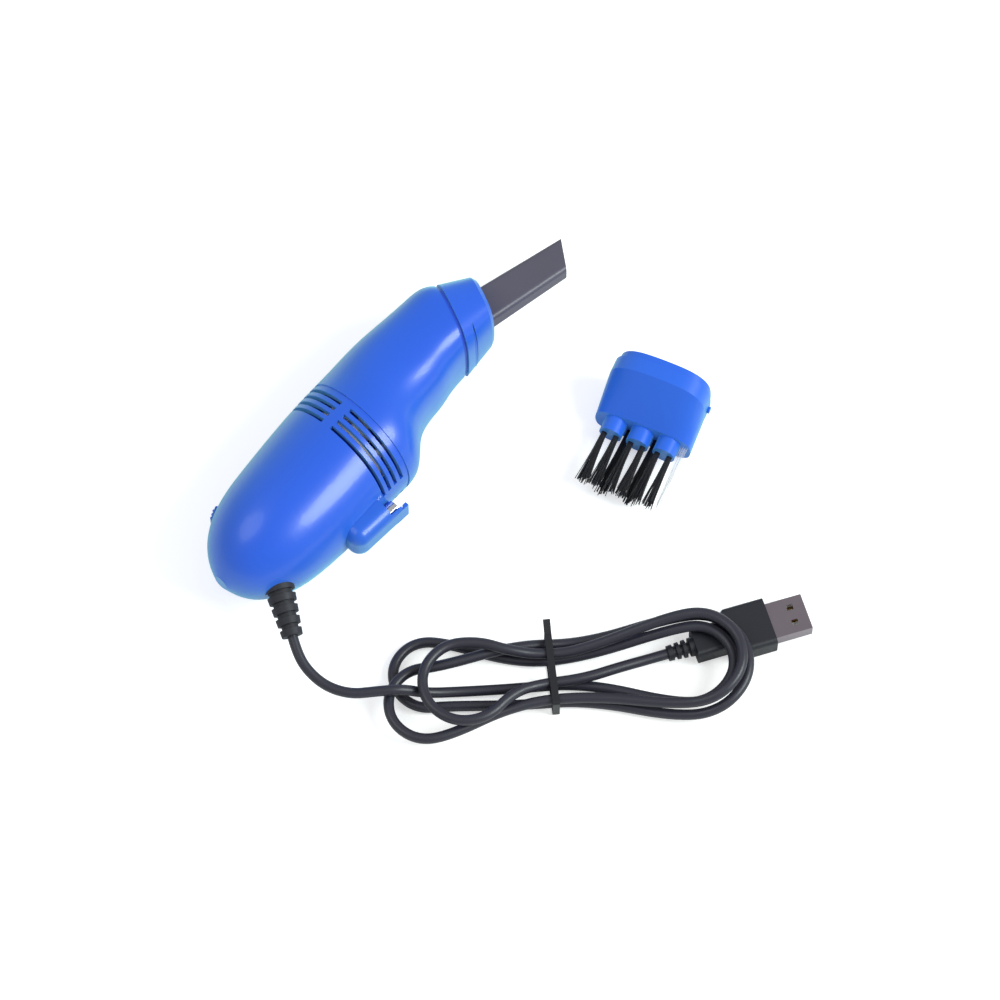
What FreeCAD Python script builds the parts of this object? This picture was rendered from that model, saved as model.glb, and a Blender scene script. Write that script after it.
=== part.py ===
"""Hand-held desktop vacuum cleaner with a pull-off nose cap, a flat suction nozzle, a brush
attachment and a tied cord with a plug. Millimetres, +X from tail to nose, +Y to the switch
side, +Z up from the table on which the cleaner lies on its side."""
import os
import FreeCAD
import Part
from math import atan2, cos, pi, radians, sin, sqrt, tan

V = FreeCAD.Vector
os.makedirs("parts", exist_ok=True)

# Overall sizes of the cleaner
body_length = 110.6          # tail to the middle of the nose plane
bulb_radius = 20.5           # fattest half width of the bulb
shell_wall = 1.8
nose_droop = 22.0            # degrees between the body's line and the nose's line
nose_half_height = 12.9
nose_half_width = 16.2
nose_lift = 4.9              # nose plane's middle above the body's line
nose_squareness = 3.0        # power of the rounded square section
overrun = 1.0                # how far every cutter passes a face
running_gap = 0.06           # radial room of a turning fit
sliding_gap = 0.15           # room all round a sliding fit
seat_gap = 0.2               # room between pieces that only locate each other
facet_count = 24             # points round one section

# Stations of the casing: place along the body as a share of its length, then top, bottom
# and half width as shares of the bulb's radius, then squareness, then share of the droop
station_shares = [
    (0.000, -0.14, -0.39, 0.13, 2.0, 0.0),
    (0.015, 0.04, -0.57, 0.31, 2.0, 0.0),
    (0.045, 0.27, -0.80, 0.54, 2.0, 0.0),
    (0.090, 0.47, -0.97, 0.73, 2.0, 0.0),
    (0.150, 0.62, -1.09, 0.87, 2.05, 0.0),
    (0.270, 0.76, -1.16, 0.97, 2.1, 0.0),
    (0.420, 0.88, -1.14, 1.00, 2.1, 0.0),
    (0.560, 0.96, -1.08, 1.00, 2.1, 0.0),
    (0.640, 0.985, -1.01, 0.97, 2.15, 0.0),
    (0.705, 1.00, -0.72, 0.92, 2.3, 0.0),
    (0.775, 1.00, -0.535, 0.865, 2.6, 0.06),
    (0.860, 0.985, -0.47, 0.82, 2.8, 0.30),
    (0.930, 0.990, -0.41, 0.80, 2.9, 0.62),
]

# Where the cleaner lies on the table
lay_x = -79.0
lay_y = 29.3

# Vent slots
slot_count = 4
slot_width = 1.3
slot_pitch = 2.7
slot_middle_x = 58.5
slot_spans = [(-78.0, -14.5), (-4.5, 78.0)]   # degrees from the side's middle to the belly
band_step_x = 64.6
band_step_depth = 0.35
band_step_width = 1.0

# Nose cap and the socket on the neck
cap_depth = 13.0
cap_wall = 1.6
cap_front_top = 11.2
cap_front_bottom = -6.5
cap_front_half_width = 12.6
cap_front_round = 1.2
groove_width = 1.3
groove_depth = 0.9
spigot_wall = 1.4
spigot_length = 5.0
spigot_root = 5.0            # how far the spigot's sleeve reaches back into the neck
sleeve_bite = 0.5            # how far the sleeve's ring reaches into the casing's wall
filter_seat_thick = 1.0
cap_travel = 14.0

# Suction nozzle
nozzle_tilt = 12.0           # degrees up from the nose's line
nozzle_height = 12.0
nozzle_thick = 7.4
nozzle_tip_height = 10.4
nozzle_tip_thick = 6.6
nozzle_wall = 1.0
nozzle_out = 34.0
nozzle_in = 6.5
nozzle_corner = 1.6
nozzle_cut_angle = 27.0      # how far the mouth leans back at the belly side
nozzle_y = 2.9
socket_wall = 1.3

# Filter in the spigot
filter_depth = 3.6
filter_rim = 1.6
filter_mesh_thick = 0.8
filter_back = 0.8
filter_hole = 2.2
filter_pitch = 3.4
filter_rows = 4
filter_columns = 6

# Motor, shaft and fan
motor_axis_y = -1.2
motor_radius = 12.0
motor_length = 25.0
motor_front_x = 55.2
motor_wall = 1.0
end_cap_length = 5.0
end_cap_boss_radius = 4.0
end_cap_boss_length = 2.0
shaft_radius = 1.0
shaft_tail = 0.8             # shaft behind the rear bush
bush_radius = 2.5
bush_length = 2.6
magnet_thick = 2.2
magnet_span = 62.0           # degrees each side of the magnet's middle
magnet_length = 14.0
armature_radius = 8.0
armature_length = 11.0
armature_slots = 3
armature_slot_width = 2.2
armature_core_radius = 3.6
commutator_radius = 2.6
commutator_length = 3.2
carbon_size = 1.6
carbon_length = 3.0
terminal_width = 2.4
terminal_thick = 0.5
terminal_past = 0.8          # terminals reach this far past the board
terminal_reach = 4.8
motor_screw_radius = 1.0
motor_screw_head = 1.8
motor_screw_head_length = 1.2
motor_screw_place = 7.0

# Bulkhead, fan and shroud
plate_thick = 1.6
plate_rim_wall = 1.2
fan_gap = 1.8                # between the bulkhead and the fan
fan_radius = 14.6
fan_disc = 1.2
fan_width = 6.4
fan_hub_radius = 3.4
fan_blades = 8
fan_blade_thick = 1.0
fan_blade_bow = 4.2
fan_grip = 0.02              # the hub is pressed on the shaft by this much room
shroud_gap = 1.2             # between the fan and the shroud
shroud_thick = 1.6
shroud_eye_radius = 8.4

# Lamp pod on the belly
pod_back_x = 36.3
pod_length = 19.2
pod_half_width = 6.4
pod_reach = 27.2             # from the bulb's middle to the pod's outer face
pod_sink = 7.0
pod_wall = 1.3
pod_round = 4.2
pod_lip = 2.4
pod_middle_y = -2.0
lamp_radius = 1.5
lamp_length = 5.2
lamp_rim_radius = 1.9
lamp_rim_length = 0.9
lamp_leg = 0.5
lamp_leg_length = 3.0
lamp_leg_spread = 1.27
reflector_radius = 2.6
reflector_length = 4.2
reflector_throat = 0.5
lamp_reach = 23.8            # from the bulb's middle to the lamp's line
resistor_radius = 1.1
resistor_length = 4.0

# Switch on the back near the tail
switch_x = 13.0
switch_slope = 29.0          # degrees of the back there
switch_back_reach = 11.3     # switch plane's distance from the body's line at switch_x
recess_length = 12.6
recess_width = 7.4
recess_depth = 1.7
knob_length = 5.2
knob_width = 5.6
knob_height = 1.9
knob_ridges = 3
knob_ridge = 0.5
knob_travel = 3.0
knob_stem_width = 2.2
knob_stem_length = 2.4
knob_stem_reach = 2.6
switch_case_length = 9.6
switch_case_width = 5.6
switch_case_height = 4.6
switch_case_wall = 0.8
switch_pin = 0.6
switch_pin_length = 1.2
switch_pin_pitch = 2.0
switch_bracket = 1.2

# Circuit board behind the motor
board_x = 20.6
board_thick = 1.2
board_height = 12.0
board_width = 17.0

# Screws that close the casing
screw_radius = 1.1
screw_head_radius = 2.1
screw_head_length = 1.6
screw_boss_radius = 2.9
screw_bite = 7.0
screw_thread_room = 0.02
screw_seat = 5.0             # the heads' seat under the joint plane
screw_places = [(24.0, -17.3), (76.0, 13.5), (92.0, 14.4)]

# Cord boot at the tail
boot_x = 12.6
boot_y = -17.2
boot_heading = 240.0         # degrees from +X, seen from above
boot_dip = 14.0              # degrees down towards the table
boot_length = 18.0
boot_root_radius = 5.0
boot_end_radius = 3.3
boot_neck_radius = 3.9
boot_neck_reach = 6.0
boot_sink = 3.4
boot_rings = 4
boot_ring_gap = 1.5
boot_ring_depth = 1.0
boot_flange_radius = 6.0
boot_flange_length = 1.4

# Cord
cord_radius = 1.65
cord_lift = 0.6              # the tied length lies this far off the table
lead_straight = 6.0          # straight out of the boot
tail_straight = 6.0          # straight into the plug
lead_points = [(-0.2, -43.6, 12.7), (0.8, -50.4, 10.7), (4.31, -56.93, 10.25)]
tail_points = [(58.65, -103.1, 6.25), (69.6, -108.2, 5.2)]
bend_share = 0.45            # of the shorter run, spent on each bend
parallel_share = 0.000001    # directions closer than this share are parallel
straight_share = 0.0001      # an arc flatter than this share of its chord is a straight run

# Hank
hank_x = 53.8
hank_y = -94.4
hank_heading = -39.9
hank_near_length = 49.5      # outermost loop's middle line, from the tie to the boot's end
hank_far_length = 61.0       # and from the tie to the plug's end
hank_half_width = 16.9
waist_half_width = 3.0       # middle line of the innermost loop at the tie
loop_step = 4.1             # between neighbour loops
waist_step = 4.5
layer_step = 4.0
loops_each_way = 1.5
stations_each_loop = 8
hank_lead_side = -3.0        # the lead crosses this far off the hank's own line
hank_lead_in = 5.5           # the lead crosses over the loops' end this far before it
hank_lead_out = 3.3
hank_drop_start = 9.0        # where the lead starts down, from the loops' end
hank_drop_end = 15.0         # where it is down, before the tie
plug_rise = 7.8              # the far ends of the loops lie over the plug, this much higher
rise_shares = (0.0, 0.2, 1.0, 1.0, 0.0, 0.0, 0.0, 0.0)   # of that rise, at a loop's stations
tie_thick = 0.5
tie_width = 2.2
tie_gap = 0.35
tie_ear_length = 4.5
tie_ear_width = 2.2
tie_ear_rise = 25.0

# Plug
plug_x = 83.5
plug_y = -115.3
plug_heading = -28.5
relief_length = 8.5
relief_radius = 3.1
relief_end_radius = 2.4
relief_rings = 3
relief_ring_gap = 1.1
relief_ring_depth = 0.6
grip_neck_length = 10.5
grip_neck_width = 10.0
grip_neck_thick = 7.0
grip_length = 14.0
grip_width = 16.0
grip_thick = 8.0
grip_round = 1.6
plug_shell_length = 12.0
plug_shell_width = 12.0
plug_shell_thick = 4.5
plug_shell_wall = 0.35
plug_shell_sink = 3.0
plug_window = 2.0
plug_window_spread = 2.6
plug_window_back = 4.6
tongue_thick = 1.9
tongue_length = 10.6
contact_width = 1.0
contact_thick = 0.25
contact_length = 8.4
contact_pitch = 2.2
contact_count = 4

# Brush attachment
brush_x = 149.0
brush_y = -52.4
brush_heading = 20.5         # from the bristles to the collar
brush_length = 18.0
brush_end_half_width = 16.0
brush_end_thick = 13.0
brush_wall = 1.5
brush_squareness = 3.6
collar_band = 2.4
brush_shoulder = 7.2         # how far from the collar's edge the head starts to narrow
stud_radius = 3.7
stud_length = 5.0
stud_pitch = 9.0
stud_count = 3
tuft_radius = 0.95
tuft_spread = 2.0
tuft_sink = 2.6
tuft_length = 19.0
tuft_flare = 1.9
tuft_back_drop = 3.2
pale_bristles = 3
pale_bristle_radius = 0.22
pale_bristle_length = 23.0
pale_bristle_pitch = 1.3
brush_pip_radius = 1.1
brush_pip_length = 0.9
collar_step = 0.9
brush_sole = 0.5             # cut flat off the underside

# Wires inside
wire_radius = 0.55


# Placing helpers

def lay(shape):
    """From the cleaner's own line to the table."""
    moved = shape.copy()
    moved.translate(V(lay_x, lay_y, bulb_radius))
    return moved


def on_table(shape):
    """From the table under the cleaner's line to the shared frame."""
    moved = shape.copy()
    moved.translate(V(lay_x, lay_y, 0))
    return moved


def to_nose(shape):
    """From the nose's own line to the cleaner's."""
    moved = shape.copy()
    moved.rotate(V(0, 0, 0), V(0, 0, 1), -nose_droop)
    moved.translate(V(body_length, nose_lift, 0))
    return moved


def save(name, shape):
    """Writes one sub-part and says what it holds."""
    shape = shape.removeSplitter() if shape.ShapeType == "Solid" else shape
    shape.exportStep("parts/" + name + ".step")
    print(name, "solids", len(shape.Solids), "volume", round(shape.Volume, 1), "valid", shape.isValid())


def group(shapes):
    """Several separate solids in one sub-part."""
    solids = []
    for shape in shapes:
        solids.extend(shape.Solids)
    return solids[0] if len(solids) == 1 else Part.makeCompound(solids)


def box(x, y, z, low):
    """A box of three sizes from its lowest corner."""
    return Part.makeBox(x, y, z, V(*low))


def centred_box(x, y, z, middle):
    """A box of three sizes about its middle."""
    return box(x, y, z, (middle[0] - x / 2, middle[1] - y / 2, middle[2] - z / 2))


def rod(radius, length, start, way):
    """A round bar from a start, along a way."""
    return Part.makeCylinder(radius, length, V(*start), V(*way))


# Section helpers

def power_point(half_height, half_width, power, angle):
    """One point of a rounded square section."""
    c, s = cos(angle), sin(angle)
    y = half_height * abs(c) ** (2 / power) * (1 if c >= 0 else -1)
    z = half_width * abs(s) ** (2 / power) * (1 if s >= 0 else -1)
    return y, z


def section_wire(x, middle_y, half_height, half_width, power, tilt):
    """A closed smooth section at x, leaning by tilt about Z."""
    points = []
    for i in range(facet_count):
        y, z = power_point(half_height, half_width, power, 2 * pi * (i + 0.5) / facet_count)
        points.append(V(x + y * sin(radians(tilt)), middle_y + y * cos(radians(tilt)), z))
    curve = Part.BSplineCurve()
    curve.interpolate(Points=points, PeriodicFlag=True)
    return Part.Wire([curve.toShape()])


def casing_stations():
    """The casing's sections as plain sizes, the nose plane last."""
    rows = []
    for x_share, top, bottom, width, power, droop_share in station_shares:
        middle = bulb_radius * (top + bottom) / 2
        height = bulb_radius * (top - bottom) / 2
        rows.append((body_length * x_share, middle, height, bulb_radius * width, power, nose_droop * droop_share))
    rows.append((body_length, nose_lift, nose_half_height, nose_half_width, nose_squareness, nose_droop))
    return rows


def casing_form(inset):
    """The casing's outer form, or the space inside it at an even inset."""
    wires = []
    for x, middle, height, width, power, tilt in casing_stations():
        x_in = inset + x * (body_length - inset) / body_length
        wires.append(section_wire(x_in, middle, height - inset, width - inset, power, tilt))
    return Part.makeLoft(wires, True, False)


def nose_section(u, top, bottom, half_width, power):
    """A section square to the nose's own line."""
    return section_wire(u, (top + bottom) / 2, (top - bottom) / 2, half_width, power, 0)


def nose_prism(start, end, inset):
    """A straight length of the nose section at an inset, along the nose's line."""
    height = nose_half_height - inset
    width = nose_half_width - inset
    face = Part.Face(nose_section(start, height, -height, width, nose_squareness))
    return face.extrude(V(end - start, 0, 0))


# Casing halves

def upper_half(sign):
    """The space on one side of the casing's joint plane, down to the table."""
    size = body_length + spigot_length
    deep = 2 * bulb_radius if sign > 0 else bulb_radius
    low = 0 if sign > 0 else -deep
    return box(3 * size, 2 * size, deep, (-size, -size, low))


def vent_cutter(x, start, end, sign):
    """A wedge that cuts one vent slot between two angles from the side's middle."""
    middle = V(x, motor_axis_y, 0)
    reach = 2 * bulb_radius
    points = [middle]
    steps = 4
    for i in range(steps + 1):
        angle = radians(start + (end - start) * i / steps)
        points.append(middle + V(0, -reach * sin(angle), sign * reach * cos(angle)))
    points.append(middle)
    return Part.Face(Part.makePolygon(points)).extrude(V(slot_width, 0, 0))


def switch_frame(shape):
    """From the switch's own line, laid on the back, to the cleaner's."""
    moved = shape.copy()
    moved.rotate(V(0, 0, 0), V(0, 0, 1), switch_slope)
    moved.translate(V(switch_x, switch_back_reach, 0))
    return moved


def oval_block(length, width, low, high):
    """An upright block with round ends, in the switch's frame."""
    radius = width / 2
    middle = box(length - width, high - low, width, (radius - length / 2, low, -radius))
    ends = [rod(radius, high - low, (side * (length / 2 - radius), low, 0), (0, 1, 0)) for side in (-1, 1)]
    return middle.fuse(ends).removeSplitter()


def stem_slot():
    """The slot that the knob's stem moves in."""
    length = knob_stem_length + knob_travel + 2 * sliding_gap + 2 * seat_gap
    low = -recess_depth - switch_bracket - overrun
    high = -recess_depth + overrun
    size_z = knob_stem_width + 2 * sliding_gap
    return box(length, high - low, size_z, (-length / 2, low, -size_z / 2))


def boot_axis():
    """The cord boot's root and direction on the cleaner's own line."""
    flat = cos(radians(boot_dip))
    way = V(flat * cos(radians(boot_heading)), flat * sin(radians(boot_heading)), -sin(radians(boot_dip)))
    return V(boot_x, boot_y, 0), way


def screw_boss(place, sign):
    """A round boss from the joint plane to the wall of one half."""
    x, y = place
    return rod(screw_boss_radius, bulb_radius, (x, y, 0), (0, 0, sign))


def casing_half(sign, outer, inner):
    """One half of the casing: positive is the half that faces up."""
    wall = outer.cut(inner)
    sleeve = to_nose(nose_prism(-spigot_root, 0, shell_wall - sleeve_bite))
    spigot = to_nose(nose_prism(0, spigot_length, cap_wall + sliding_gap))
    cup = switch_frame(oval_block(recess_length + 2 * switch_bracket, recess_width + 2 * switch_bracket,
                                  -recess_depth - switch_bracket, 0)).common(outer)
    body = wall.fuse([sleeve.common(outer), spigot, cup])
    bosses = [screw_boss(place, sign).common(outer) for place in screw_places]
    body = body.fuse(bosses)
    bore_inset = cap_wall + sliding_gap + spigot_wall
    body = body.cut(to_nose(nose_prism(filter_seat_thick - spigot_root, spigot_length + overrun, bore_inset)))
    body = body.cut(to_nose(nose_prism(-spigot_root - overrun, spigot_length, bore_inset + filter_rim)))
    body = body.cut(switch_frame(oval_block(recess_length, recess_width, -recess_depth, bulb_radius)))
    body = body.cut(switch_frame(stem_slot()))
    for i in range(slot_count):
        x = slot_middle_x + (i - (slot_count - 1) / 2) * slot_pitch - slot_width / 2
        for start, end in slot_spans:
            body = body.cut(vent_cutter(x, start, end, sign))
    root, way = boot_axis()
    body = body.cut(Part.makeCylinder(boot_neck_radius, 2 * boot_neck_reach, root - way * boot_neck_reach, way))
    body = body.cut(lamp_wire_hole())
    for x, y in screw_places:
        if sign > 0:
            body = body.cut(rod(screw_radius + screw_thread_room, screw_bite, (x, y, -overrun), (0, 0, 1)))
        else:
            body = body.cut(rod(screw_radius + seat_gap, bulb_radius, (x, y, overrun), (0, 0, -1)))
            well = rod(screw_head_radius + seat_gap, bulb_radius, (x, y, -screw_seat), (0, 0, -1))
            body = body.cut(well)
    return body.common(upper_half(sign))


def band_step(half):
    """Cuts the shallow step round the casing ahead of the vents."""
    ring = casing_form(0).cut(casing_form(band_step_depth))
    slab = box(band_step_width, 4 * bulb_radius, 4 * bulb_radius, (band_step_x, -2 * bulb_radius, -2 * bulb_radius))
    return half.cut(ring.common(slab))


def shell_screw(place):
    """A self-tapping screw from the left half into the right one."""
    x, y = place
    shank = rod(screw_radius, screw_seat + screw_bite - 2 * overrun, (x, y, -screw_seat), (0, 0, 1))
    head = rod(screw_head_radius, screw_head_length, (x, y, -screw_seat), (0, 0, -1))
    slot_size = screw_head_radius / 2
    cross = [box(2 * slot_size, slot_size / 2, slot_size, (x - slot_size, y - slot_size / 4, -screw_seat - screw_head_length)),
             box(slot_size / 2, 2 * slot_size, slot_size, (x - slot_size / 4, y - slot_size, -screw_seat - screw_head_length))]
    return shank.fuse(head).cut(cross[0]).cut(cross[1])


# Nose cap and nozzle

def nozzle_place(shape):
    """From the nozzle's own line, at the cap's front, to the nose's line."""
    moved = shape.copy()
    moved.rotate(V(0, 0, 0), V(0, 0, 1), nozzle_tilt)
    moved.translate(V(cap_depth, nozzle_y, 0))
    return moved


def flat_tube_form(start, end, height, thick, end_height, end_thick, corner):
    """A flat rounded bar from start to end that narrows evenly."""
    wires = []
    for x, h, t in ((start, height, thick), (end, end_height, end_thick)):
        wires.append(rounded_wire(x, h, t, corner))
    return Part.makeLoft(wires, True, True)


def rounded_wire(x, height, thick, corner):
    """A rounded rectangle square to the line at x."""
    y, z = height / 2, thick / 2
    lean = corner * (1 - sqrt(2) / 2)
    spots = [(y - corner, z, y - lean, z - lean, y, z - corner),
             (y, corner - z, y - lean, lean - z, y - corner, -z),
             (corner - y, -z, lean - y, lean - z, -y, corner - z),
             (-y, z - corner, lean - y, z - lean, corner - y, z)]
    edges = []
    for i, (y1, z1, ym, zm, y2, z2) in enumerate(spots):
        arc = Part.Arc(V(x, y1, z1), V(x, ym, zm), V(x, y2, z2))
        edges.append(arc.toShape())
        following = spots[(i + 1) % len(spots)]
        edges.append(Part.LineSegment(V(x, y2, z2), V(x, following[0], following[1])).toShape())
    return Part.Wire(edges)


def nozzle_size_at(x):
    """Height and thickness of the nozzle at a place along it, the taper carried on both ways."""
    share = x / nozzle_out
    height = nozzle_height + (nozzle_tip_height - nozzle_height) * max(share, 0)
    thick = nozzle_thick + (nozzle_tip_thick - nozzle_thick) * max(share, 0)
    return height, thick


def nozzle_cap():
    """The cap that slides over the neck's spigot and holds the nozzle."""
    top, width = nose_half_height, nose_half_width
    skirt = nose_prism(0, groove_width, groove_depth)
    wires = [nose_section(groove_width, top, -top, width, nose_squareness),
             nose_section(cap_depth - cap_front_round, cap_front_top + cap_front_round / 2,
                          cap_front_bottom - cap_front_round / 2, cap_front_half_width + cap_front_round / 2,
                          nose_squareness)]
    front = Part.makeLoft([wires[1], nose_section(cap_depth, cap_front_top - cap_front_round / 2,
                                                  cap_front_bottom + cap_front_round / 2,
                                                  cap_front_half_width - cap_front_round / 2,
                                                  nose_squareness)], True, True)
    outer = skirt.fuse([Part.makeLoft(wires, True, True), front])
    hollow = nose_prism(-overrun, spigot_length + sliding_gap + seat_gap, cap_wall)
    inner_start = spigot_length + sliding_gap
    share = (inner_start - groove_width) / (cap_depth - groove_width)
    inner_top = top + (cap_front_top - top) * share - cap_wall
    inner_bottom = -top + (cap_front_bottom + top) * share + cap_wall
    inner_width = width + (cap_front_half_width - width) * share - cap_wall
    taper = Part.makeLoft([nose_section(inner_start, min(inner_top, top - cap_wall), inner_bottom, inner_width,
                                        nose_squareness),
                           nose_section(cap_depth - cap_wall, cap_front_top - cap_wall, cap_front_bottom + cap_wall,
                                        cap_front_half_width - cap_wall, nose_squareness)], True, True)
    height, thick = nozzle_size_at(0)
    room = socket_wall + sliding_gap
    socket = nozzle_place(flat_tube_form(-nozzle_in, nozzle_in, height + 2 * room, thick + 2 * room,
                                         height + 2 * room, thick + 2 * room, nozzle_corner + room))
    hole = nozzle_place(flat_tube_form(-nozzle_in - cap_depth, cap_depth, height + 2 * sliding_gap,
                                       thick + 2 * sliding_gap, height + 2 * sliding_gap,
                                       thick + 2 * sliding_gap, nozzle_corner + sliding_gap))
    cap = outer.cut(hollow).cut(taper).fuse(socket.common(outer)).cut(hole)
    return to_nose(cap)


def crevice_nozzle():
    """The flat hollow nozzle with its leaning mouth."""
    height, thick = nozzle_size_at(0)
    tip_height, tip_thick = nozzle_tip_height, nozzle_tip_thick
    wall = 2 * nozzle_wall
    outer = flat_tube_form(-nozzle_in, 0, height, thick, height, thick, nozzle_corner).fuse(
        flat_tube_form(0, nozzle_out, height, thick, tip_height, tip_thick, nozzle_corner))
    inner_corner = nozzle_corner - nozzle_wall
    inner = flat_tube_form(-nozzle_in - overrun, 0, height - wall, thick - wall, height - wall, thick - wall,
                           inner_corner)
    past = nozzle_out + overrun
    inner = inner.fuse(flat_tube_form(0, past, height - wall, thick - wall, tip_height - wall, tip_thick - wall,
                                      inner_corner))
    tube = outer.cut(inner)
    size = 4 * nozzle_height
    cutter = box(size, size, size, (0, -size / 2, -size / 2))
    cutter.rotate(V(0, 0, 0), V(0, 0, 1), -nozzle_cut_angle)
    cutter.translate(V(nozzle_out, tip_height / 2, 0))
    return to_nose(nozzle_place(tube.cut(cutter)))


# Filter

def filter_bore_inset():
    """Inset of the filter from the nose's outer section."""
    return cap_wall + sliding_gap + spigot_wall + sliding_gap


def filter_frame():
    """The ring that holds the filter's mesh."""
    start = filter_seat_thick - spigot_root
    inset = filter_bore_inset()
    ring = nose_prism(start, start + filter_depth, inset)
    ring = ring.cut(nose_prism(start + filter_back, start + filter_depth + overrun, inset + filter_rim))
    return to_nose(ring.cut(nose_prism(start - overrun, start + filter_depth, inset + 2 * filter_rim)))


def filter_mesh():
    """The perforated mesh that lies in the filter's ring."""
    start = filter_seat_thick - spigot_root + filter_back
    sheet = nose_prism(start, start + filter_mesh_thick, filter_bore_inset() + filter_rim + sliding_gap)
    for row in range(filter_rows):
        for column in range(filter_columns):
            y = (row - (filter_rows - 1) / 2) * filter_pitch
            z = (column - (filter_columns - 1) / 2) * filter_pitch
            sheet = sheet.cut(centred_box(4 * filter_mesh_thick, filter_hole, filter_hole, (start, y, z)))
    return to_nose(sheet)


# Motor, fan and bulkhead

def along(radius, start, end, y=motor_axis_y, z=0):
    """A round bar along X between two places."""
    return rod(radius, end - start, (start, y, z), (1, 0, 0))


motor_back_x = motor_front_x - motor_length
end_cap_back_x = motor_back_x - end_cap_length
fan_back_x = motor_front_x + plate_thick + fan_gap
fan_front_x = fan_back_x + fan_width
shroud_x = fan_front_x + shroud_gap
shaft_start_x = end_cap_back_x - end_cap_boss_length - shaft_tail
bore_radius = shaft_radius + running_gap
carbon_holder_size = carbon_size + plate_rim_wall


def motor_can():
    """The motor's steel can, open at the back."""
    can = along(motor_radius, motor_back_x, motor_front_x)
    can = can.cut(along(motor_radius - motor_wall, motor_back_x - overrun, motor_front_x - motor_wall))
    can = can.fuse(along(end_cap_boss_radius, motor_front_x - bush_length, motor_front_x))
    can = can.cut(along(bush_radius, motor_front_x - bush_length - overrun, motor_front_x + overrun))
    for side in (-1, 1):
        hole = along(motor_screw_radius, motor_front_x - motor_wall - overrun, motor_front_x + overrun,
                     z=side * motor_screw_place)
        can = can.cut(hole)
    return can


def motor_end_cap():
    """The moulded back of the motor with its bush seat and carbon holders."""
    cap = along(motor_radius, end_cap_back_x, motor_back_x)
    cap = cap.cut(along(motor_radius - plate_rim_wall, end_cap_back_x + plate_thick, motor_back_x + overrun))
    cap = cap.fuse(along(end_cap_boss_radius, end_cap_back_x - end_cap_boss_length, end_cap_back_x + plate_thick))
    size = carbon_holder_size
    reach = motor_radius - plate_rim_wall / 2 - commutator_radius - plate_rim_wall
    for side in (-1, 1):
        middle = (end_cap_back_x + plate_thick + size / 2,
                  motor_axis_y + side * (commutator_radius + plate_rim_wall + reach / 2), 0)
        cap = cap.fuse(centred_box(size, reach, size, middle))
        cap = cap.cut(carbon_brush(side, seat_gap / 4))
    start = end_cap_back_x - end_cap_boss_length
    cap = cap.cut(along(bush_radius, start - overrun, start + bush_length))
    cap = cap.cut(along(bore_radius + seat_gap, start, end_cap_back_x + end_cap_boss_length))
    for side in (-1, 1):
        cap = cap.cut(terminal_blade(side, seat_gap / 4))
    return cap


def bush(start):
    """A plain bush for the motor's shaft."""
    sleeve = along(bush_radius, start, start + bush_length)
    return sleeve.cut(along(bore_radius, start - overrun, start + bush_length + overrun))


def carbon_brush(side, room):
    """One carbon that presses on the commutator, or the slot that holds it."""
    size = carbon_size + 2 * room
    start = commutator_radius + running_gap
    x = end_cap_back_x + plate_thick + carbon_holder_size / 2
    y = motor_axis_y + side * (start + carbon_length / 2)
    return centred_box(size, carbon_length + 2 * room, size, (x, y, 0))


def terminal_blade(side, room):
    """One solder blade through the end cap and the board, or the slot for it."""
    start = board_x - terminal_past
    length = end_cap_back_x + plate_thick - start
    y = motor_axis_y + side * terminal_reach
    return centred_box(length, terminal_thick + 2 * room, terminal_width + 2 * room, (start + length / 2, y, 0))


def magnet(side):
    """One curved magnet on the can's wall."""
    outer = motor_radius - motor_wall
    start = motor_front_x - bush_length - overrun - magnet_length
    ring = along(outer, start, start + magnet_length).cut(along(outer - magnet_thick, start - overrun,
                                                                start + magnet_length + overrun))
    reach = 2 * motor_radius
    spread = reach * tan(radians(magnet_span))
    middle = V(start - overrun, motor_axis_y, 0)
    corners = [middle, middle + V(0, side * reach, spread), middle + V(0, side * reach, -spread), middle]
    wedge = Part.Face(Part.makePolygon(corners)).extrude(V(magnet_length + 2 * overrun, 0, 0))
    return ring.common(wedge)


def motor_shaft():
    """The steel shaft from behind the rear bush to the fan's front."""
    return along(shaft_radius, shaft_start_x, fan_front_x)


def armature():
    """The slotted iron core and its windings' mass, fixed on the shaft."""
    end = motor_front_x - bush_length - 2 * overrun
    start = end - armature_length
    core = along(armature_radius, start, end)
    for i in range(armature_slots):
        slot = box(armature_length + 2 * overrun, armature_radius, armature_slot_width,
                   (start - overrun, motor_axis_y + armature_core_radius, -armature_slot_width / 2))
        slot.rotate(V(0, motor_axis_y, 0), V(1, 0, 0), 360 * i / armature_slots)
        core = core.cut(slot)
    return core.cut(along(shaft_radius + fan_grip, start - overrun, end + overrun))


def commutator():
    """The copper commutator under the carbons."""
    start = end_cap_back_x + plate_thick + seat_gap
    drum = along(commutator_radius, start, start + commutator_length)
    return drum.cut(along(shaft_radius + fan_grip, start - overrun, start + commutator_length + overrun))


def inner_slab(start, thick):
    """A slab that fills the casing from wall to wall."""
    size = 4 * bulb_radius
    return casing_form(shell_wall + seat_gap).common(box(thick, size, size, (start, -size / 2, -size / 2)))


def motor_plate():
    """The bulkhead that carries the motor."""
    plate = inner_slab(motor_front_x, plate_thick)
    start, end = motor_front_x - overrun, motor_front_x + plate_thick + overrun
    plate = plate.cut(along(end_cap_boss_radius, start, end))
    for side in (-1, 1):
        plate = plate.cut(along(motor_screw_radius + seat_gap / 2, start, end, z=side * motor_screw_place))
    return plate


def motor_screw(side):
    """One screw that holds the motor to the bulkhead."""
    z = side * motor_screw_place
    face = motor_front_x + plate_thick
    shank = along(motor_screw_radius, motor_front_x - motor_wall - overrun, face, z=z)
    return shank.fuse(along(motor_screw_head, face, face + motor_screw_head_length, z=z))


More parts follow.
